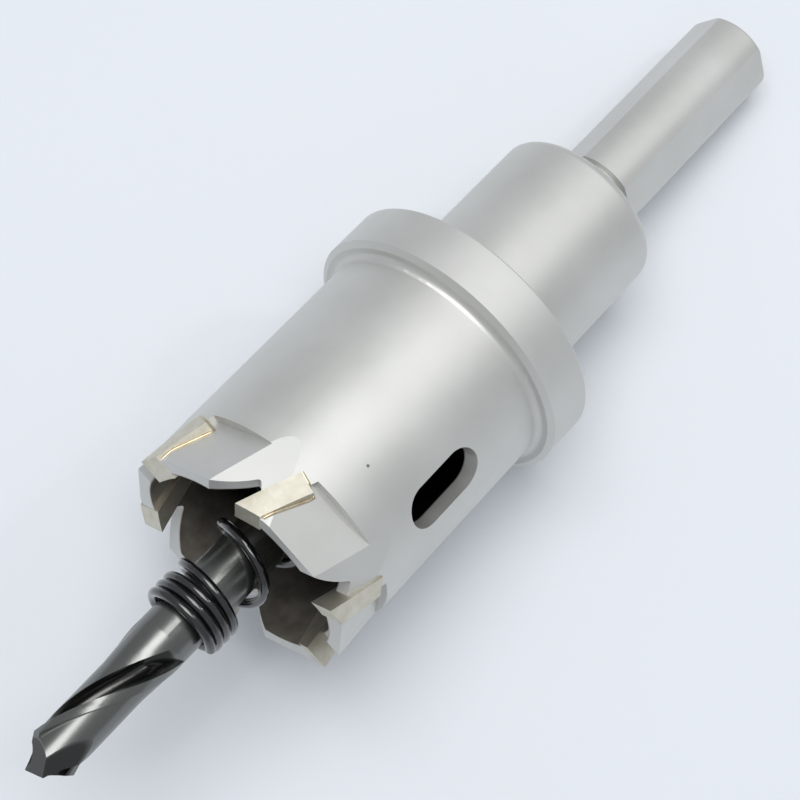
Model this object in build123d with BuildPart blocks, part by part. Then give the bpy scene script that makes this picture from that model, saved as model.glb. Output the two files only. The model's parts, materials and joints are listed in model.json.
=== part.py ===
"""Hole saw with brazed tooth inserts, a pilot drill and an ejector spring.

Stations run along the tool's axis Z, in millimetres, from the rear face of the flange: positive
towards the end of the shank, negative towards the cutting end. Angles are degrees about that axis.
The finished pieces are laid down together at the end, on the flange and one flat of the shank.
"""
from build123d import *
from math import asin, atan, cos, degrees, hypot, radians, sin, tan
import os

# --- Turned body -----------------------------------------------------------------------------
seam_angle = 170.0          # where the round faces of the body close, on the side it lies on
flange_diameter = 31.0
flange_thickness = 5.7
flange_bevel_length = 0.42
flange_bevel_depth = 0.68
flange_rear_break = 0.2
cup_diameter = 27.1
cup_wall = 1.85
cup_reach = 36.7            # rear face of the flange to the rim of the cup
cup_root_fillet = 0.7
fillet_room = 0.6           # share of a narrow wall that its fillet may take
cup_floor_reach = 8.0      # rear face of the flange to the floor inside the cup
cup_floor_fillet = 0.8
hub_diameter = 19.4
hub_length = 19.45
hub_shoulder_radius = 1.1
hub_root_fillet = 0.35
neck_diameter = 8.4
neck_length = 3.15
shank_diameter = 10.0
shank_length = 25.6
shank_end_radius = 0.35
flat_count = 3
flat_depth = 0.5
flat_angle = 50.0

# --- Teeth -----------------------------------------------------------------------------------
tooth_count = 6
tip_angle = -16.8           # cutting corner of the first tooth
lean_angle = 19.5           # lean of each insert towards the cut
insert_length = 7.2
insert_width = 2.4
insert_proud_front = 0.6
insert_proud_outside = 0.4
insert_proud_inside = 0.5
insert_side_relief = 0.15
front_relief_angle = 12.0
gullet_mouth = 4.0
gullet_depth = 3.25         # rim of the cup to the gullet's root corner
gullet_rake_depth = 2.1     # how far from the rim the gullet bares the insert's face
gullet_root_ahead = 1.4     # root corner ahead of the insert's face
gullet_ramp_sag = 0.25      # how far the long side dishes from straight
gullet_root_radius = 0.3
facet_angle = 29.8          # middle of the ground facet, behind the cutting corner
facet_lead_angle = 7.0      # where the facet starts under the insert, behind the cutting corner
facet_length = 6.7
facet_front_depth = 0.38
facet_rear_depth = 1.1
lead_flat_angle = -1.0
lead_flat_depth = 0.46
lead_flat_length = 8.7

# --- Ejector slots ---------------------------------------------------------------------------
slot_count = 2
slot_angle = 45.3
slot_length = 9.9
slot_width = 4.95
slot_station = -19.65

# --- Pilot drill -----------------------------------------------------------------------------
drill_diameter = 6.0
drill_length = 80.0
drill_reach = 65.7          # rear face of the flange to the tip of the drill
drill_fit = 0.03            # radial clearance in the bore
bore_end_room = 0.8
point_angle = 96.0
point_relief_angle = 12.0
flute_lead = 37.0
flute_end_station = -48.0
flute_runout = 4.6
flute_angle = -60.0         # leading edge of the first land, at the tip's shoulder
flute_opening = 56.0
flute_foot_share = 0.6      # of the way from the web to the outside, where a flute's floor ends
web_thickness = 2.0
margin_angle = 20.0         # full-diameter strip behind each lip, round the drill
land_clearance = 0.38       # the rest of a land is ground this much lower
clearance_runout = 5.5
heel_flat_angle = 112.0     # a flat ground on each heel at the point faces this far behind the lip
heel_flat_reach = 1.65      # from the axis, at the tip
heel_flat_slope = 9.5
drill_rear_bevel = 0.4

# --- Set screw -------------------------------------------------------------------------------
screw_diameter = 5.0
screw_length = 5.5
screw_fit = 0.03
screw_angle = 180.0
screw_station = 9.7
screw_seat_depth = 0.3      # flat on the drill under the screw
screw_seat_length = 7.0
screw_socket_size = 2.5
screw_socket_depth = 2.4
screw_bevel = 0.5

# --- Ejector spring --------------------------------------------------------------------------
wire_diameter = 1.04
spring_mean_radius = 4.02
spring_front_station = -46.0
spring_front_angle = 72.0
spring_closed_pitch = 1.08
spring_closed_turns = 3
spring_open_turns = 6.0
spring_end_turns = 1
spring_ease_turns = 0.5     # over which the coils open and close up again
spring_offset = -0.15       # it hangs a little off the drill's axis
spring_floor_gap = 0.1
points_per_turn = 10

# --- Worked out from the sizes above ---------------------------------------------------------
flange_radius = flange_diameter / 2
cup_radius = cup_diameter / 2
cup_inner_radius = cup_radius - cup_wall
hub_radius = hub_diameter / 2
neck_radius = neck_diameter / 2
shank_radius = shank_diameter / 2
drill_radius = drill_diameter / 2
bore_radius = drill_radius + drill_fit
rim_station = -cup_reach
floor_station = -cup_floor_reach
neck_station = hub_length
shank_station = hub_length + neck_length
end_station = shank_station + shank_length
flat_distance = shank_radius - flat_depth
tooth_pitch = 360 / tooth_count
tip_station = rim_station - insert_proud_front
flange_step = flange_radius - cup_radius
flange_bevel = min(flange_bevel_depth, flange_step / 2)
root_fillet = min(cup_root_fillet, (flange_step - flange_bevel) * fillet_room)
beyond = 3.0                # how far a cut runs past the metal
edge_match = 0.01

drill_tip_station = -drill_reach
drill_rear_station = drill_tip_station + drill_length
bore_end_station = drill_rear_station + bore_end_room
point_height = drill_radius / tan(radians(point_angle / 2))


def radial_plane(angle, station, distance=0.0):
    """A plane facing outwards at an angle; its x runs round the tool and its y to the shank."""
    out = Vector(cos(radians(angle)), sin(radians(angle)), 0)
    around = Vector(-sin(radians(angle)), cos(radians(angle)), 0)
    return Plane(origin=out * distance + Vector(0, 0, station), x_dir=around, z_dir=out)


def meridian_plane(angle):
    """A plane through the tool's axis; its x runs outwards at the angle and its y to the shank."""
    out = Vector(cos(radians(angle)), sin(radians(angle)), 0)
    return Plane(origin=(0, 0, 0), x_dir=out, z_dir=Vector(sin(radians(angle)), -cos(radians(angle)), 0))


def turned_edges(part, radius, station):
    """The round edges of a turned part at a radius and a station."""
    return [
        edge
        for edge in part.edges().filter_by(GeomType.CIRCLE)
        if hypot(edge.radius - radius, edge.arc_center.Z - station) < edge_match
    ]


# --- One tooth's share of what is cut from the rim of the cup ---------------------------------
lean = tan(radians(lean_angle))
rake_at_rim = insert_proud_front * lean
insert_end = insert_length * cos(radians(lean_angle))
insert_slant = insert_width * cos(radians(lean_angle))
seat_plane = radial_plane(tip_angle, tip_station)

with BuildPart() as gullet_cut:
    with BuildSketch(seat_plane.offset(cup_inner_radius - beyond)) as gullet_outline:
        with BuildLine():
            root_across = rake_at_rim + gullet_depth * lean - gullet_root_ahead
            root = (root_across, insert_proud_front + gullet_depth)
            rake_foot_across = rake_at_rim + gullet_rake_depth * lean
            rake_foot = (rake_foot_across, insert_proud_front + gullet_rake_depth)
            rake_mouth = (rake_at_rim - (insert_proud_front + beyond) * lean, -beyond)
            ramp_mouth = (rake_at_rim - gullet_mouth, insert_proud_front)
            ramp_outside = (ramp_mouth[0] - beyond, -beyond)
            SagittaArc(ramp_mouth, root, -gullet_ramp_sag)
            Polyline(root, rake_foot, rake_mouth, ramp_outside, ramp_mouth)
        make_face()
        fillet(gullet_outline.vertices().sort_by(Axis.Y)[-1], gullet_root_radius)
    extrude(amount=cup_wall + 2 * beyond)

with BuildPart() as insert_seat:
    with BuildSketch(seat_plane.offset(cup_inner_radius - beyond)) as seat_outline:
        with BuildLine():
            rear_rake = (insert_length * sin(radians(lean_angle)), insert_end)
            rear_heel = (
                rear_rake[0] + insert_slant * cos(radians(lean_angle)),
                insert_end - insert_slant * sin(radians(lean_angle)),
            )
            front_heel = (insert_width - beyond * lean, -beyond)
            Polyline((-beyond * lean, -beyond), rear_rake, rear_heel, front_heel, close=True)
        make_face()
    extrude(amount=cup_wall + 2 * beyond)

# The ground facet behind each insert: flat, and deeper towards its square rear wall.
facet_middle = tip_angle + facet_angle
facet_rear_station = rim_station + facet_length


def facet_section(station):
    """Corners of the facet's cut across the tool: x outwards at its middle, y round the tool."""
    share = (station - rim_station) / facet_length
    floor = cup_radius - facet_front_depth - (facet_rear_depth - facet_front_depth) * share
    lead_at_rim = cup_radius * sin(radians(facet_lead_angle - facet_angle))
    lead_side = lead_at_rim + (station - rim_station) * lean
    outside = cup_radius + beyond
    return [(floor, lead_side), (floor, cup_radius), (outside, cup_radius), (outside, lead_side)]


with BuildPart() as facet_cut:
    for station in (rim_station - beyond, facet_rear_station):
        section_plane = Plane.XY.offset(station).rotated((0, 0, facet_middle))
        with BuildSketch(section_plane):
            with BuildLine():
                Polyline(*facet_section(station), close=True)
            make_face()
    loft(ruled=True)

# The shallow flat ahead of each insert lets the cutting corner stand clear of the cup.
with BuildPart() as lead_flat_cut:
    with BuildSketch(meridian_plane(tip_angle + lead_flat_angle)):
        with BuildLine():
            slope = lead_flat_depth / lead_flat_length
            Polyline(
                (cup_radius, rim_station + lead_flat_length),
                (cup_radius - lead_flat_depth - beyond * slope, rim_station - beyond),
                (cup_radius + beyond, rim_station - beyond),
                (cup_radius + beyond, rim_station + lead_flat_length),
                close=True,
            )
        make_face()
    extrude(amount=cup_radius / 2, both=True)

# --- Body ------------------------------------------------------------------------------------
with BuildPart() as cutter_body:
    with BuildSketch(meridian_plane(seam_angle)):
        with BuildLine():
            Polyline(
                (0, rim_station),
                (cup_radius, rim_station),
                (cup_radius, -flange_thickness),
                (flange_radius - flange_bevel, -flange_thickness),
                (flange_radius, flange_bevel_length - flange_thickness),
                (flange_radius, 0),
                (hub_radius, 0),
                (hub_radius, neck_station),
                (neck_radius, neck_station),
                (neck_radius, shank_station),
                (shank_radius, shank_station),
                (shank_radius, end_station),
                (0, end_station),
                close=True,
            )
        make_face()
    revolve(axis=Axis.Z)
    with Locations(Plane(origin=(0, 0, rim_station), x_dir=(1, 0, 0), z_dir=(0, 0, -1))):
        CounterBoreHole(
            radius=bore_radius,
            counter_bore_radius=cup_inner_radius,
            counter_bore_depth=floor_station - rim_station,
            depth=bore_end_station - rim_station,
        )
    fillet(turned_edges(cutter_body, cup_radius, -flange_thickness), root_fillet)
    fillet(turned_edges(cutter_body, cup_inner_radius, floor_station), cup_floor_fillet)
    fillet(turned_edges(cutter_body, hub_radius, neck_station), hub_shoulder_radius)
    fillet(turned_edges(cutter_body, hub_radius, 0), hub_root_fillet)
    fillet(turned_edges(cutter_body, flange_radius, 0), flange_rear_break)
    fillet(turned_edges(cutter_body, shank_radius, end_station), shank_end_radius)

    # Flats that the chuck's jaws grip
    with BuildSketch(Plane.XY.offset(shank_station)):
        with PolarLocations(flat_distance + flat_depth, flat_count, start_angle=flat_angle):
            Rectangle(2 * flat_depth, shank_diameter)
    extrude(amount=shank_length, mode=Mode.SUBTRACT)

    # Teeth
    with PolarLocations(0, tooth_count):
        add(gullet_cut.part, mode=Mode.SUBTRACT)
        add(facet_cut.part, mode=Mode.SUBTRACT)
        add(lead_flat_cut.part, mode=Mode.SUBTRACT)
        add(insert_seat.part, mode=Mode.SUBTRACT)

    # Slots through which a plug of waste is levered out
    for slot in range(slot_count):
        slot_plane = radial_plane(slot_angle + slot * 360 / slot_count, slot_station)
        with BuildSketch(slot_plane):
            SlotOverall(slot_length, slot_width, rotation=90)
        extrude(amount=flange_radius, mode=Mode.SUBTRACT)

    # Threaded hole for the set screw, at its pitch diameter
    screw_axis = radial_plane(screw_angle, screw_station)
    with BuildSketch(screw_axis):
        Circle(screw_diameter / 2)
    extrude(amount=flange_radius, mode=Mode.SUBTRACT)

# --- Tooth inserts ---------------------------------------------------------------------------
insert_outer_radius = cup_radius + insert_proud_outside
insert_inner_radius = cup_inner_radius - insert_proud_inside
insert_rear_station = tip_station + insert_end
carbide_tips = []
for tooth in range(tooth_count):
    with BuildPart() as carbide_tip:
        tooth_plane = radial_plane(tip_angle + tooth * tooth_pitch, tip_station)
        with BuildSketch(tooth_plane.offset(insert_inner_radius - beyond)):
            with BuildLine():
                heel_rise = tan(radians(front_relief_angle))
                front_heel_up = insert_width * heel_rise / (1 - lean * heel_rise)
                Polyline(
                    (0, 0),
                    rear_rake,
                    rear_heel,
                    (insert_width + front_heel_up * lean, front_heel_up),
                    close=True,
                )
            make_face()
        extrude(amount=insert_outer_radius + 2 * beyond - insert_inner_radius)
        with BuildSketch(Plane.XZ):
            with BuildLine():
                Polyline(
                    (insert_inner_radius, tip_station),
                    (insert_outer_radius, tip_station),
                    (insert_outer_radius - insert_side_relief, insert_rear_station),
                    (insert_inner_radius + insert_side_relief, insert_rear_station),
                    close=True,
                )
            make_face()
        revolve(axis=Axis.Z, mode=Mode.INTERSECT)
    carbide_tips.append(carbide_tip)

# --- Pilot drill -----------------------------------------------------------------------------
# The blank tapers to the lands' clearance, two margins stand on it and two flutes are cut along it.
# The flutes rise on a cone towards their end, which is how a grinding wheel leaves them.
flute_turn = 360 / flute_lead
lip_turn = flute_angle - flute_turn * point_height / 2
tip_turn = flute_angle - flute_turn * point_height
web_radius = web_thickness / 2
lip_setback = web_radius / 2
land_radius = drill_radius - land_clearance
flute_foot = web_radius + (drill_radius - web_radius) * flute_foot_share
heel_direction = Vector(cos(radians(flute_opening)), -sin(radians(flute_opening)))
deepest_direction = Vector(cos(radians(flute_opening / 2)), -sin(radians(flute_opening / 2)))
margin_rear_angle = margin_angle - degrees(asin(lip_setback / drill_radius))
margin_rear = Vector(cos(radians(margin_rear_angle)), sin(radians(margin_rear_angle)))

with BuildSketch(Plane.XY) as margin_profile:
    with BuildLine():
        Polyline(
            (web_radius, -lip_setback),
            (drill_radius + beyond, -lip_setback),
            margin_rear * (drill_radius + beyond),
            margin_rear * web_radius,
            close=True,
        )
    make_face()
    Circle(drill_radius, mode=Mode.INTERSECT)

with BuildSketch(Plane.XY) as flute_profile:
    with BuildLine():
        lip_foot = Vector(flute_foot, -lip_setback)
        lip_corner = Vector(drill_radius + beyond, -lip_setback)
        heel_foot = heel_direction * flute_foot
        heel_corner = heel_direction * (drill_radius + beyond)
        ThreePointArc(lip_foot, deepest_direction * web_radius, heel_foot)
        Polyline(heel_foot, heel_corner, lip_corner, lip_foot)
    make_face()

with BuildLine() as drill_axis:
    Line((0, 0, drill_tip_station), (0, 0, flute_end_station))
with BuildLine() as flute_guide:
    Helix(flute_lead, flute_end_station - drill_tip_station, drill_radius, (0, 0, drill_tip_station))

with BuildPart() as margins:
    with BuildSketch(Plane.XY.offset(drill_tip_station).rotated((0, 0, tip_turn))):
        with PolarLocations(0, 2):
            add(margin_profile.sketch)
    sweep(path=drill_axis.edge(), binormal=flute_guide.edge())

with BuildPart() as flutes:
    with BuildSketch(Plane.XY.offset(drill_tip_station).rotated((0, 0, tip_turn))):
        with PolarLocations(0, 2):
            add(flute_profile.sketch)
    sweep(path=drill_axis.edge(), binormal=flute_guide.edge())
    with BuildSketch(Plane.XZ):
        with BuildLine():
            Polyline(
                (0, flute_end_station - flute_runout),
                (drill_radius, flute_end_station),
                (drill_radius + beyond, flute_end_station + beyond * flute_runout / drill_radius),
                (0, flute_end_station + beyond),
                close=True,
            )
        make_face()
    revolve(axis=Axis.Z, mode=Mode.SUBTRACT)

with BuildPart() as pilot_drill:
    with BuildSketch(Plane.XZ):
        with BuildLine():
            Polyline(
                (0, drill_tip_station),
                (land_radius, drill_tip_station),
                (land_radius, flute_end_station - clearance_runout),
                (drill_radius, flute_end_station),
                (drill_radius, drill_rear_station - drill_rear_bevel),
                (drill_radius - drill_rear_bevel, drill_rear_station),
                (0, drill_rear_station),
                close=True,
            )
        make_face()
    revolve(axis=Axis.Z)
    add(margins.part)
    add(flutes.part, mode=Mode.SUBTRACT)

    # The point: a ground flank behind each lip, meeting in a chisel edge, and a flat on each heel
    half_point = radians(point_angle / 2)
    for lip_angle in (lip_turn, lip_turn + 180):
        along_lip = Vector(cos(radians(lip_angle)), sin(radians(lip_angle)), 0)
        behind_lip = Vector(-sin(radians(lip_angle)), cos(radians(lip_angle)), 0)
        flank_normal = (
            along_lip * cos(half_point)
            - Vector(0, 0, sin(half_point))
            + behind_lip * sin(half_point) * tan(radians(point_relief_angle))
        )
        split(bisect_by=Plane(origin=(0, 0, drill_tip_station), z_dir=flank_normal), keep=Keep.BOTTOM)
        heel_angle = radians(lip_angle + heel_flat_angle)
        heel_out = Vector(cos(heel_angle), sin(heel_angle), 0)
        heel_flat = Plane(
            origin=heel_out * heel_flat_reach + Vector(0, 0, drill_tip_station),
            z_dir=heel_out - Vector(0, 0, tan(radians(heel_flat_slope))),
        )
        split(bisect_by=heel_flat, keep=Keep.BOTTOM)

    # Flat on the plain shank, where the set screw bears
    with BuildSketch(radial_plane(screw_angle, screw_station, drill_radius - screw_seat_depth)):
        Rectangle(drill_diameter, screw_seat_length)
    extrude(amount=drill_radius, mode=Mode.SUBTRACT)

# --- Set screw -------------------------------------------------------------------------------
screw_foot_radius = drill_radius - screw_seat_depth
with BuildPart() as set_screw:
    with BuildSketch(radial_plane(screw_angle, screw_station, screw_foot_radius)):
        Circle(screw_diameter / 2 - screw_fit)
    extrude(amount=screw_length)
    chamfer(set_screw.edges().filter_by(GeomType.CIRCLE), screw_bevel)
    with BuildSketch(radial_plane(screw_angle, screw_station, screw_foot_radius + screw_length)):
        RegularPolygon(screw_socket_size / 2, 6, major_radius=False)
    extrude(amount=-screw_socket_depth, mode=Mode.SUBTRACT)

# --- Ejector spring --------------------------------------------------------------------------
# Closed coils in front, an open stretch inside the cup, and a closed end turn on the cup's floor.
wire_radius = wire_diameter / 2
spring_start = spring_front_station + wire_radius
spring_stop = floor_station - spring_floor_gap - wire_radius
spring_turns = spring_closed_turns + spring_open_turns + spring_end_turns
spring_extra = spring_stop - spring_start - spring_closed_pitch * spring_turns
extra_per_turn = spring_extra / (spring_open_turns - spring_ease_turns)


def opened(turn):
    """Turns of full opening that the wire has gone through, which eases in and out."""
    past = min(max(turn - spring_closed_turns, 0), spring_open_turns)
    eased_in = min(past, spring_ease_turns) ** 2 / (2 * spring_ease_turns)
    between = min(max(past - spring_ease_turns, 0), spring_open_turns - 2 * spring_ease_turns)
    left = max(past - spring_open_turns + spring_ease_turns, 0)
    return eased_in + between + left - left ** 2 / (2 * spring_ease_turns)


def wire_point(turn):
    """Middle of the wire, turn by turn from the front; the coil is wound left-handed."""
    angle = radians(spring_front_angle - 360 * turn)
    station = spring_start + spring_closed_pitch * turn + extra_per_turn * opened(turn)
    return Vector(spring_mean_radius * cos(angle), spring_mean_radius * sin(angle) - spring_offset, station)


wire_steps = round(spring_turns * points_per_turn)
with BuildPart() as ejector_spring:
    with BuildLine() as wire_path:
        Spline(*[wire_point(spring_turns * step / wire_steps) for step in range(wire_steps + 1)])
    with BuildSketch(Plane(origin=wire_path.line @ 0, z_dir=wire_path.line % 0)):
        Circle(wire_radius)
    sweep(path=wire_path.line, is_frenet=True)

# --- Laid down -------------------------------------------------------------------------------
# The tool rests on the rear edge of its flange and on the end of one flat of its shank. In the
# finished frame X runs along the tool to the cutting end and Z is up.
rest_flat_angle = flat_angle + 360 / flat_count
break_reach = hypot(end_station + flange_rear_break, flange_radius - flange_rear_break - flat_distance)
tilt = (
    atan((flange_radius - flange_rear_break - flat_distance) / (end_station + flange_rear_break))
    + asin(flange_rear_break / break_reach)
)
up_side = Vector(-cos(radians(rest_flat_angle)), -sin(radians(rest_flat_angle)), 0)
to_shank = Vector(0, 0, 1)
standing = Plane(
    origin=(0, 0, 0),
    x_dir=-to_shank * cos(tilt) - up_side * sin(tilt),
    z_dir=up_side * cos(tilt) - to_shank * sin(tilt),
)

pieces = {
    "cutter_body": cutter_body,
    "pilot_drill": pilot_drill,
    "ejector_spring": ejector_spring,
    "set_screw": set_screw,
}
for tooth, carbide_tip in enumerate(carbide_tips, start=1):
    pieces[f"carbide_tip_{tooth}"] = carbide_tip

for piece in pieces.values():
    piece.part = standing.location.inverse() * piece.part
box = Compound([piece.part for piece in pieces.values()]).bounding_box()
to_floor = Pos(-box.center().X, -box.center().Y, -box.min.Z)

os.makedirs("parts", exist_ok=True)
for name, piece in pieces.items():
    piece.part = to_floor * piece.part
    piece.part.label = name
    export_step(piece.part, f"parts/{name}.step")
    print(name, round(piece.part.volume, 2), piece.part.bounding_box())
print("tilt of the tool's axis", round(degrees(tilt), 2), "degrees")
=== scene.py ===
import json
from math import cos, pi, radians, sin, tan

import bpy
from mathutils import Matrix, Vector
from mathutils.bvhtree import BVHTree

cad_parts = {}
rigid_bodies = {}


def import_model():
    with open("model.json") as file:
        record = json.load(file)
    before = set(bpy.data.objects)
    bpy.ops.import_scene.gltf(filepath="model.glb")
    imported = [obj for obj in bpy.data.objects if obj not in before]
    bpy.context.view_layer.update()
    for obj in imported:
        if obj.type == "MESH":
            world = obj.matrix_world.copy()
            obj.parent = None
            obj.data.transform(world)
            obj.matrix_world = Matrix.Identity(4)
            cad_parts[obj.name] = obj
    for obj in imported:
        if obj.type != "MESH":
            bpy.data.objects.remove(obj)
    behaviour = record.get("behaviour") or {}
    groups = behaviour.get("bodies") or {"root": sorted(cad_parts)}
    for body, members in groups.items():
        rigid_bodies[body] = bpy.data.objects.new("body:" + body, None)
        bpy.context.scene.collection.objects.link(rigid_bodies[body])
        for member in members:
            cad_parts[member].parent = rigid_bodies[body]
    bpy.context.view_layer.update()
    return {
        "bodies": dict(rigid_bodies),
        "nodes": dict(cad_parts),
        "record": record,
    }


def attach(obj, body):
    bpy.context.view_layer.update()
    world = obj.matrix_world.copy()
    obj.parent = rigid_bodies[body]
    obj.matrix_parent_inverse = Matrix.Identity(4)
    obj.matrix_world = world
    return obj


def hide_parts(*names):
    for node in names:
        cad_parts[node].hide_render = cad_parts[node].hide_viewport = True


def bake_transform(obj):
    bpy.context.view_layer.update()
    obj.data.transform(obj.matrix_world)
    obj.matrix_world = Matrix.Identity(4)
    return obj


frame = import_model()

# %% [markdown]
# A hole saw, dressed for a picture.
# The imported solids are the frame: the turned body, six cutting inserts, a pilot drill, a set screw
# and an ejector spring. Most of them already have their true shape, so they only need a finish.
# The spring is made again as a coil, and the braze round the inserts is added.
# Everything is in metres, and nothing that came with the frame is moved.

MM = 0.001
bodies, nodes = frame["bodies"], frame["nodes"]
mounts = {mount["name"]: mount for mount in frame["record"]["mounts"]}

# %% [markdown]
# The tool lies tilted, on its flange and on the end of its shank, so its axis isn't one of the
# frame's. It's easier to think along the tool: stations run along its axis from the rear face of
# the flange, positive towards the shank, and angles go round it. The shank's mount in the record
# gives the axis, and one matrix carries anything drawn along the tool into the frame.

# %% The tool's own axes
SHANK_MIDDLE = 35.4 * MM          # station of the middle of the shank
TOP_ANGLE = -10.0                 # the angle round the tool that faces straight up
to_shank = Vector(mounts["shank"]["axis"]).normalized()
flange_rear = Vector(mounts["shank"]["pos_m"]) - to_shank * SHANK_MIDDLE
sideways = Vector((0, 1, 0))
upwards = sideways.cross(to_shank).normalized()
if upwards.z < 0:
    upwards.negate()


def outwards(angle):
    """The direction away from the tool's axis at an angle in degrees."""
    turn = radians(angle - TOP_ANGLE)
    return upwards * cos(turn) + sideways * sin(turn)


tool_place = Matrix((outwards(0), outwards(90), to_shank)).transposed().to_4x4()
tool_place.translation = flange_rear
print("rear face of the flange at", tuple(round(x / MM, 2) for x in flange_rear), "mm")
print("right-handed", round(tool_place.to_3x3().determinant(), 3))

# %% [markdown]
# Shader and geometry trees are both full of small sums. A class that wraps a socket and answers
# to + - * / lets a line of Python say the sum, and adds the Math nodes itself. Any other node
# comes from one method that takes its settings first and then what goes into its sockets.

# %% Sockets that can be used in sums
class Tree:
    """A node tree under construction."""

    def __init__(self, nodes_of, links):
        self.nodes, self.links = nodes_of, links

    def feed(self, socket, value):
        if isinstance(value, Wire):
            self.links.new(value.socket, socket)
        elif value is not None:
            socket.default_value = value

    def add(self, kind, settings=None, **values):
        """Adds a node; a value's name is its socket's, with _ for a space, or i and its place."""
        node = self.nodes.new(kind)
        for name, setting in (settings or {}).items():
            setattr(node, name, setting)
        for name, value in values.items():
            place = int(name[1:]) if name[0] == "i" and name[1:].isdigit() else name.replace("_", " ")
            self.feed(node.inputs[place], value)
        return node

    def out(self, node, name=0):
        return Wire(self, node.outputs[name])

    def sum(self, operation, *values):
        node = self.nodes.new("ShaderNodeMath")
        node.operation = operation
        for socket, value in zip(node.inputs, values):
            self.feed(socket, value)
        return Wire(self, node.outputs[0])


class Wire:
    """An output socket; each operator adds the Math node that it names."""

    def __init__(self, tree, socket):
        self.tree, self.socket = tree, socket

    def __add__(self, other):
        return self.tree.sum("ADD", self, other)

    def __sub__(self, other):
        return self.tree.sum("SUBTRACT", self, other)

    def __mul__(self, other):
        return self.tree.sum("MULTIPLY", self, other)

    def __truediv__(self, other):
        return self.tree.sum("DIVIDE", self, other)

    def __radd__(self, other):
        return self.tree.sum("ADD", other, self)

    def __rsub__(self, other):
        return self.tree.sum("SUBTRACT", other, self)

    def __rmul__(self, other):
        return self.tree.sum("MULTIPLY", other, self)

    def at_least(self, other):
        return self.tree.sum("MAXIMUM", self, other)

    def at_most(self, other):
        return self.tree.sum("MINIMUM", self, other)

    def power(self, other):
        return self.tree.sum("POWER", self, other)

    def ramp(self, low, high):
        """0 below low, 1 above high, and a straight rise between them."""
        node = self.tree.add("ShaderNodeMapRange", {"clamp": True}, Value=self, From_Min=low, From_Max=high)
        return self.tree.out(node)


print("sums add their own Math nodes")

# %% [markdown]
# Every finish starts from the same few things: a principled shader, the place on the piece, and
# soft and fine grain. Object coordinates are the frame's own, because each piece's object sits at
# the origin. From them come the station along the tool and the distance from its axis, which say
# whether a point is inside the cup or out on the shank.

# %% What every finish is made of
class Finish(Tree):
    """A material with one principled shader."""

    def __init__(self, name, **constants):
        self.material = bpy.data.materials.new(name)
        self.material.use_nodes = True
        tree = self.material.node_tree
        super().__init__(tree.nodes, tree.links)
        self.shader = tree.nodes["Principled BSDF"]
        for socket, value in constants.items():
            self.shader.inputs[socket.replace("_", " ")].default_value = value
        self.place = self.out(self.add("ShaderNodeTexCoord"), "Object")

    def noise(self, size, detail=3.0, roughness=0.55, place=None):
        """Cloudy grain whose lumps are about that many millimetres across, from 0 to 1."""
        node = self.add(
            "ShaderNodeTexNoise",
            Vector=place or self.place,
            Scale=1 / (size * MM),
            Detail=detail,
            Roughness=roughness,
        )
        return self.out(node, "Fac")

    def mix(self, share, first, second):
        """A colour between two others."""
        node = self.add("ShaderNodeMix", {"data_type": "RGBA"}, i0=share, i6=first, i7=second)
        return self.out(node, 2)

    def vector(self, operation, *values):
        """A Vector Math node."""
        node = self.add("ShaderNodeVectorMath", {"operation": operation})
        for socket, value in zip(node.inputs, values):
            self.feed(socket, value)
        return node

    def station(self):
        """How far along the tool a point is, from the flange's rear face, in millimetres."""
        from_flange = self.out(self.vector("SUBTRACT", self.place, flange_rear))
        return self.out(self.vector("DOT_PRODUCT", from_flange, to_shank / MM), "Value")

    def reach(self):
        """How far a point is from the tool's axis, in millimetres."""
        from_flange = self.out(self.vector("SUBTRACT", self.place, flange_rear))
        square = self.out(self.vector("CROSS_PRODUCT", from_flange, to_shank / MM))
        return self.out(self.vector("LENGTH", square), "Value")

    def distance(self, spot):
        """How far a point is from a spot, in millimetres."""
        return self.out(self.vector("DISTANCE", self.place, spot), "Value") / MM

    def grain(self, height, strength, depth):
        """A bumpy surface from a height, whose full scale is a depth in millimetres."""
        bump = self.add("ShaderNodeBump", Strength=strength, Distance=depth * MM, Height=height)
        self.links.new(bump.outputs[0], self.shader.inputs["Normal"])

    def set(self, **varying):
        for socket, value in varying.items():
            self.feed(self.shader.inputs[socket.replace("_", " ")], value)
        return self.material


print("finishes read the place on the piece, never the camera")

# %% [markdown]
# The body is steel, turned, then blasted with fine beads and plated. The blasting scatters light,
# so it looks almost like pale stone: soft shading, no sharp reflection. It's a metal with a high
# roughness and a very fine bump. Inside the cup a mottled brown stain is painted with shade over it,
# and the painted shade deepens to near black the deeper it goes. One small mark sits on the outside of the
# cup.

# %% Blasted and plated steel
CUP_INSIDE = 11.9                 # mm from the axis, just within the cup's wall
CUP_FLOOR = (-6.6, -5.4)          # mm, stations where the inside's stain and painted shade end
PAINTED_SHADE_DEEPENS = (-34.0, -27.0)      # mm, stations from the cup's rim inwards over which the painted shade deepens to near black
SPOT_ANGLE = 10.9                 # a small dark mark on the cup
SPOT_STATION, SPOT_REACH = -25.2, 13.56
blasted = Finish("blasted_steel", Metallic=0.85)
station, reach = blasted.station(), blasted.reach()
inside = (1 - reach.ramp(CUP_INSIDE - 0.2, CUP_INSIDE)) * (1 - station.ramp(*CUP_FLOOR))
cloud = blasted.noise(9.0, 4.0)
speck = blasted.noise(0.16, 2.0, 0.6)
plated = blasted.mix(cloud.ramp(0.3, 0.7), (0.62, 0.62, 0.595, 1), (0.68, 0.68, 0.66, 1))
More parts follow.
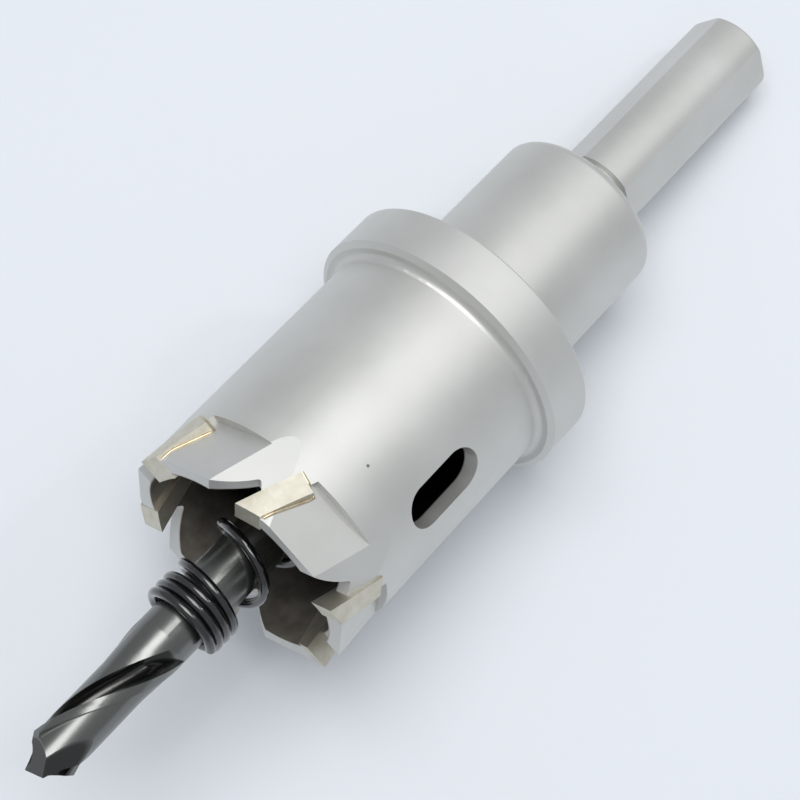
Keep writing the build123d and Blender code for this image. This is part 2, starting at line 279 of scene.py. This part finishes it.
# Painted shade inside the cup: a mottled brown stain, painted darker than the plating, turns to painted
# shade near black from the rim inwards.
stain = blasted.noise(2.4, 4.0).ramp(0.35, 0.65)
stain_and_shade = blasted.mix(stain, (0.24, 0.215, 0.185, 1), (0.40, 0.365, 0.32, 1))
stain_into_painted_shade = blasted.mix(station.ramp(*PAINTED_SHADE_DEEPENS), stain_and_shade, (0.014, 0.012, 0.011, 1))
spot_place = flange_rear + (outwards(SPOT_ANGLE) * SPOT_REACH + to_shank * SPOT_STATION) * MM
spot = 1 - blasted.distance(spot_place).ramp(0.10, 0.22)
plated = blasted.mix(spot, plated, (0.16, 0.15, 0.14, 1))
blasted.grain(speck, 0.18, 0.03)
blasted_steel = blasted.set(
    Base_Color=blasted.mix(inside, plated, stain_into_painted_shade),
    Roughness=0.46 + 0.08 * cloud + 0.05 * speck,
)
print("finish", blasted_steel.name)

# %% [markdown]
# The inserts are ground hard metal, warmer and a little shinier than the body, with fine grinding
# lines. The braze that holds them is brass-coloured and smooth where it flowed.

# %% Ground inserts and their braze
ground = Finish("carbide", Metallic=0.9)
warm = ground.noise(1.2, 3.0)
along_lines = ground.add(
    "ShaderNodeMapping", {"vector_type": "TEXTURE"}, Vector=ground.place, Scale=(9.0, 1.0, 1.0)
)
lines = ground.noise(0.09, 2.0, 0.5, ground.out(along_lines))
ground.grain(lines, 0.12, 0.02)
carbide = ground.set(
    Base_Color=ground.mix(warm.ramp(0.3, 0.7), (0.56, 0.53, 0.43, 1), (0.67, 0.64, 0.56, 1)),
    Roughness=0.36 + 0.12 * lines,
)

flowed = Finish("braze", Metallic=1.0)
puddle = flowed.noise(0.7, 3.0)
flowed.grain(puddle, 0.25, 0.08)
braze_brass = flowed.set(
    Base_Color=flowed.mix(puddle.ramp(0.35, 0.65), (0.54, 0.44, 0.28, 1), (0.68, 0.61, 0.46, 1)),
    Roughness=0.32 + 0.2 * puddle,
)
print("finishes", carbide.name, braze_brass.name)

# %% [markdown]
# The pilot drill is high-speed steel: lighter where it was ground round, dark grey in its flutes
# and glossy all over. The spring is black with a bright clear shine, and the set screw is duller.

# %% Drill, spring and screw
honed = Finish("drill_steel", Metallic=0.95)
honed_cloud = honed.noise(3.0, 3.0)
honed_lines = honed.noise(0.12, 2.0)
DRILL_GROUND = (2.45, 2.6)        # mm from the axis, where the flutes end and the lands begin
honed.grain(honed_lines, 0.06, 0.01)
drill_steel = honed.set(
    Base_Color=honed.mix(honed.reach().ramp(*DRILL_GROUND), (0.07, 0.07, 0.068, 1), (0.19, 0.195, 0.187, 1)),
    Roughness=0.20 + 0.1 * honed_cloud,
)

blackened = Finish("spring_black", Metallic=0.0, Coat_Weight=1.0, Coat_Roughness=0.05)
scuff = blackened.noise(0.5, 4.0)
blackened.grain(scuff, 0.15, 0.02)
spring_black = blackened.set(
    Base_Color=blackened.mix(scuff.ramp(0.55, 0.75), (0.005, 0.005, 0.006, 1), (0.022, 0.021, 0.020, 1)),
    Roughness=0.12 + 0.14 * scuff,
)

oxide = Finish("screw_black", Metallic=0.4)
oxide_cloud = oxide.noise(0.8, 3.0)
oxide.grain(oxide_cloud, 0.1, 0.02)
screw_black = oxide.set(
    Base_Color=oxide.mix(oxide_cloud, (0.02, 0.02, 0.021, 1), (0.05, 0.048, 0.045, 1)),
    Roughness=0.35 + 0.2 * oxide_cloud,
)
print("finishes", drill_steel.name, spring_black.name, screw_black.name)

# %% [markdown]
# The solids that keep their own shape take a finish in their material slots. Their meshes stay
# exactly as they came.

# %% Finishes for the solids
inserts = sorted(name for name in nodes if name.startswith("carbide_tip"))
finish_of = {"cutter_body": blasted_steel, "pilot_drill": drill_steel, "set_screw": screw_black}
finish_of.update({name: carbide for name in inserts})
finish_of["ejector_spring"] = spring_black
for name, finish in finish_of.items():
    mesh = nodes[name].data
    mesh.materials.clear()
    mesh.materials.append(finish)
print(len(finish_of), "solids have a finish,", len(inserts), "of them inserts")


# %% [markdown]
# A geometry tree needs the same handful of steps each time: make the tree with its named sizes,
# run it on an empty mesh, keep the result as a plain mesh and drop the modifier.

# %% Running a geometry tree
class Shape(Tree):
    """A geometry tree with named sizes; its last step makes everything real and sets a finish."""

    def __init__(self, name, **sizes):
        self.group = bpy.data.node_groups.new(name, "GeometryNodeTree")
        super().__init__(self.group.nodes, self.group.links)
        self.group.interface.new_socket("Geometry", in_out="INPUT", socket_type="NodeSocketGeometry")
        self.sizes = sizes
        kinds = {float: "NodeSocketFloat", int: "NodeSocketInt"}
        self.keys = {}
        for size, value in sizes.items():
            socket = self.group.interface.new_socket(size, in_out="INPUT", socket_type=kinds[type(value)])
            self.keys[size] = socket.identifier
        self.group.interface.new_socket("Geometry", in_out="OUTPUT", socket_type="NodeSocketGeometry")
        self.inlet = self.nodes.new("NodeGroupInput")

    def size(self, name):
        return self.out(self.inlet, name)

    def round_bar(self, line, sides, radius):
        """Round bar along a line, with closed ends and smooth shading."""
        circle = {"mode": "RADIUS"}
        ring = self.add("GeometryNodeCurvePrimitiveCircle", circle, Resolution=sides, Radius=radius)
        bar = self.add(
            "GeometryNodeCurveToMesh",
            Curve=self.out(line),
            Profile_Curve=self.out(ring),
            Fill_Caps=True,
        )
        return self.out(self.add("GeometryNodeSetShadeSmooth", Geometry=self.out(bar)))

    def make(self, geometry, finish, place, start=None):
        """Ends the tree, runs it and returns a plain object in the frame's place."""
        real = self.add("GeometryNodeRealizeInstances", Geometry=geometry)
        finished = self.add("GeometryNodeSetMaterial", Geometry=self.out(real), Material=finish)
        outlet = self.nodes.new("NodeGroupOutput")
        self.links.new(finished.outputs[0], outlet.inputs[0])
        carrier = bpy.data.objects.new(self.group.name + "_start", start or bpy.data.meshes.new("start"))
        bpy.context.scene.collection.objects.link(carrier)
        modifier = carrier.modifiers.new("shape", "NODES")
        modifier.node_group = self.group
        for size, key in self.keys.items():
            modifier[key] = self.sizes[size]
        evaluated = carrier.evaluated_get(bpy.context.evaluated_depsgraph_get())
        mesh = bpy.data.meshes.new_from_object(evaluated)
        carrier.modifiers.remove(modifier)
        bpy.data.objects.remove(carrier)
        mesh.name = self.group.name
        mesh.transform(place)
        piece = bpy.data.objects.new(self.group.name, mesh)
        bpy.context.scene.collection.objects.link(piece)
        print("made", piece.name, "with", len(mesh.polygons), "faces")
        return piece


# %% [markdown]
# The ejector is one coil of round wire, wound left-handed: a few closed coils in front, an open
# stretch inside the cup and a closed turn on the cup's floor. A rule gives each point of the wire
# its angle and its station, so a row of points and one Set Position make the path. The same rule
# says what share of the travel each point takes when the coil is pressed in: all of it in front,
# less and less through the open stretch, none at the floor.

# %% Ejector spring
SPRING_FRONT = -45.48             # mm, station of the first coil's middle
SPRING_REAR = -8.62
SPRING_PITCH = 1.08
SPRING_CLOSED, SPRING_OPEN, SPRING_END, SPRING_EASE = 3.0, 6.0, 1.0, 0.5   # turns
WIRE_SIDES = 16
turns = SPRING_CLOSED + SPRING_OPEN + SPRING_END
full_opening = SPRING_OPEN - SPRING_EASE
opening_per_turn = (SPRING_REAR - SPRING_FRONT - SPRING_PITCH * turns) / full_opening

coil = Shape(
    "ejector_coil",
    mean_radius=4.02 * MM,
    wire_radius=0.52 * MM,
    sag=-0.15 * MM,
    first_angle=radians(72),
    steps_per_turn=48,
)
steps = coil.size("steps_per_turn") * turns
row = coil.add("GeometryNodeMeshLine", Count=steps + 1)
turn = coil.out(coil.add("GeometryNodeInputIndex")) / coil.size("steps_per_turn")
past = (turn - SPRING_CLOSED).at_least(0).at_most(SPRING_OPEN)
opening = past.at_most(SPRING_EASE).power(2) / (2 * SPRING_EASE)
opening = opening + (past - SPRING_EASE).at_least(0).at_most(SPRING_OPEN - 2 * SPRING_EASE)
closing = (past - (SPRING_OPEN - SPRING_EASE)).at_least(0)
opening = opening + closing - closing.power(2) / (2 * SPRING_EASE)
angle = coil.size("first_angle") - turn * (2 * pi)
point = coil.add(
    "ShaderNodeCombineXYZ",
    X=coil.size("mean_radius") * coil.sum("COSINE", angle),
    Y=coil.size("mean_radius") * coil.sum("SINE", angle) - coil.size("sag"),
    Z=(turn * SPRING_PITCH + opening * opening_per_turn + SPRING_FRONT) * MM,
)
path = coil.add("GeometryNodeSetPosition", Geometry=coil.out(row), Position=coil.out(point))
path = coil.add(
    "GeometryNodeStoreNamedAttribute",
    {"data_type": "FLOAT", "domain": "POINT"},
    Geometry=coil.out(path),
    Name="travel_share",
    Value=1 - opening / full_opening,
)
wire = coil.add("GeometryNodeMeshToCurve", Mesh=coil.out(path))
round_wire = coil.round_bar(wire, WIRE_SIDES, coil.size("wire_radius"))
ejector_coil = coil.make(round_wire, spring_black, tool_place)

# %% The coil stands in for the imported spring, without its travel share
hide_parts("ejector_spring")
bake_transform(ejector_coil)
ejector_coil.data.attributes.remove(ejector_coil.data.attributes["travel_share"])

# %% [markdown]
# Braze shows as a thin bead in the corner between each insert and the body. A ray dropped on the
# body beside one insert finds the surface that the bead lies on. The bead is drawn once and a
# Geometry Nodes tree sets it round the tool, once for each insert.

# %% Braze beads
INSERT_ANGLE, INSERT_LEAN = -16.8, radians(19.5)
INSERT_LENGTH, INSERT_WIDTH = 7.2, 2.4
INSERT_TIP = -37.3                # mm, station of the cutting corner
CUP_RADIUS = 13.55
BEAD_RADIUS = 0.2
BEAD_STEPS = 12
BEAD_SIDES = 10
BEAD_START = 0.9                  # mm behind the cutting corner

body_mesh = nodes["cutter_body"].data
body_tree = BVHTree.FromPolygons(
    [vertex.co for vertex in body_mesh.vertices], [polygon.vertices for polygon in body_mesh.polygons]
)
to_tool = tool_place.inverted()


def beside_insert(x, y):
    """The body's surface under a point of the insert's outline, in the tool's axes, in metres."""
    facing, around = outwards(INSERT_ANGLE), outwards(INSERT_ANGLE + 90)
    start = flange_rear + to_shank * (INSERT_TIP + y) * MM + around * x * MM + facing * 2 * CUP_RADIUS * MM
    return to_tool @ body_tree.ray_cast(start, -facing)[0]


slant = INSERT_WIDTH * cos(INSERT_LEAN)
rear_rake = Vector((INSERT_LENGTH * sin(INSERT_LEAN), INSERT_LENGTH * cos(INSERT_LEAN)))
rear_heel = rear_rake + Vector((slant * cos(INSERT_LEAN), -slant * sin(INSERT_LEAN)))
off_rear = Vector((sin(INSERT_LEAN), cos(INSERT_LEAN))) * BEAD_RADIUS / 3
off_heel = Vector((cos(INSERT_LEAN), -sin(INSERT_LEAN))) * BEAD_RADIUS / 3
front_heel = Vector((INSERT_WIDTH + BEAD_START * tan(INSERT_LEAN), BEAD_START))
outline = [front_heel.lerp(rear_heel, step / BEAD_STEPS) + off_heel for step in range(BEAD_STEPS)]
outline += [rear_heel.lerp(rear_rake, step / BEAD_STEPS) + off_rear for step in range(BEAD_STEPS + 1)]
bead_line = bpy.data.meshes.new("bead_line")
bead_points = [beside_insert(*point) for point in outline]
bead_line.from_pydata(bead_points, [(i, i + 1) for i in range(len(bead_points) - 1)], [])

bead = Shape("braze_beads", bead_radius=BEAD_RADIUS * MM, inserts=len(inserts))
line = bead.add("GeometryNodeMeshToCurve", Mesh=bead.out(bead.inlet, "Geometry"))
round_bead = bead.round_bar(line, BEAD_SIDES, bead.size("bead_radius"))
seats = bead.add("GeometryNodeMeshLine", Count=bead.size("inserts"), Offset=(0, 0, 0))
place_turn = bead.out(bead.add("GeometryNodeInputIndex")) * (2 * pi / len(inserts))
rotation = bead.add("ShaderNodeCombineXYZ", Z=place_turn)
placed = bead.add(
    "GeometryNodeInstanceOnPoints",
    Points=bead.out(seats),
    Instance=round_bead,
    Rotation=bead.out(rotation),
)
braze_beads = bead.make(bead.out(placed), braze_brass, tool_place, bead_line)
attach(braze_beads, "cutter")

# %% [markdown]
# The tool lies on a plain pale table. The table is one big plane that isn't part of the object.

# %% Table
TABLE_HALF = 3.0                  # metres
table_mesh = bpy.data.meshes.new("table_top")
square = ((-1, -1), (1, -1), (1, 1), (-1, 1))
corners = [(x * TABLE_HALF, y * TABLE_HALF, 0) for x, y in square]
table_mesh.from_pydata(corners, [], [(0, 1, 2, 3)])
table_top = bpy.data.objects.new("table_top", table_mesh)
bpy.context.scene.collection.objects.link(table_top)
paper = Finish("paper", Roughness=0.8)
paper.shader.inputs["Specular IOR Level"].default_value = 0.2
paper_cloud = paper.noise(60.0, 2.0)
pale = paper.mix(paper_cloud, (0.72, 0.752, 0.79, 1), (0.74, 0.772, 0.81, 1))
table_mesh.materials.append(paper.set(Base_Color=pale))
print("table", table_top.name)

# %% [markdown]
# Soft light from a broad lamp almost straight overhead gives the rounded gradients on the blasted
# steel. A small lamp behind the tool puts a sharp glint on the drill and the spring, and the world
# fills the shadows.

# %% Light
def softbox(name, place, size, power, aim=(0, 0, 0)):
    """A square lamp that faces a point."""
    lamp = bpy.data.lights.new(name, "AREA")
    lamp.shape, lamp.size, lamp.energy = "SQUARE", size, power
    holder = bpy.data.objects.new(name, lamp)
    holder.location = place
    holder.rotation_euler = (Vector(aim) - Vector(place)).to_track_quat("-Z", "Y").to_euler()
    bpy.context.scene.collection.objects.link(holder)
    return holder


FILL_STRENGTH = 0.46
softbox("overhead", (-0.04, -0.04, 0.60), size=0.42, power=2.6)
softbox("window", (-0.35, 0.20, 0.43), size=0.05, power=0.20)
world = bpy.data.worlds.new("room")
world.use_nodes = True
world.node_tree.nodes["Background"].inputs["Color"].default_value = (0.93, 0.96, 1.0, 1)
world.node_tree.nodes["Background"].inputs["Strength"].default_value = FILL_STRENGTH
bpy.context.scene.world = world

# %% [markdown]
# The camera looks down steeply with a long lens. Its place and its directions are given along the
# tool's own axes: outwards at 0 degrees, outwards at 90 degrees, and towards the shank.

# %% Camera
VIEW_FROM = Vector((0.21509, 0, -0.10932))
VIEW_RIGHT = Vector((0.2876, 0.7200, 0.6315))
VIEW_AHEAD = Vector((-0.9109, 0.0018, 0.4127))
eye = bpy.data.cameras.new("camera")
eye.sensor_width, eye.lens = 36.0, 102.78
eye.clip_start, eye.clip_end = 0.01, 10.0
camera = bpy.data.objects.new("camera", eye)
right = (tool_place.to_3x3() @ VIEW_RIGHT).normalized()
back = -(tool_place.to_3x3() @ VIEW_AHEAD).normalized()
up = back.cross(right).normalized()
camera.matrix_world = Matrix((right, up, back)).transposed().to_4x4()
camera.location = tool_place @ VIEW_FROM
bpy.context.scene.collection.objects.link(camera)
bpy.context.scene.camera = camera
print("camera at", tuple(round(x, 4) for x in camera.location))

# %% Finishing
bpy.context.scene.view_settings.view_transform = "Standard"
bpy.context.view_layer.update()
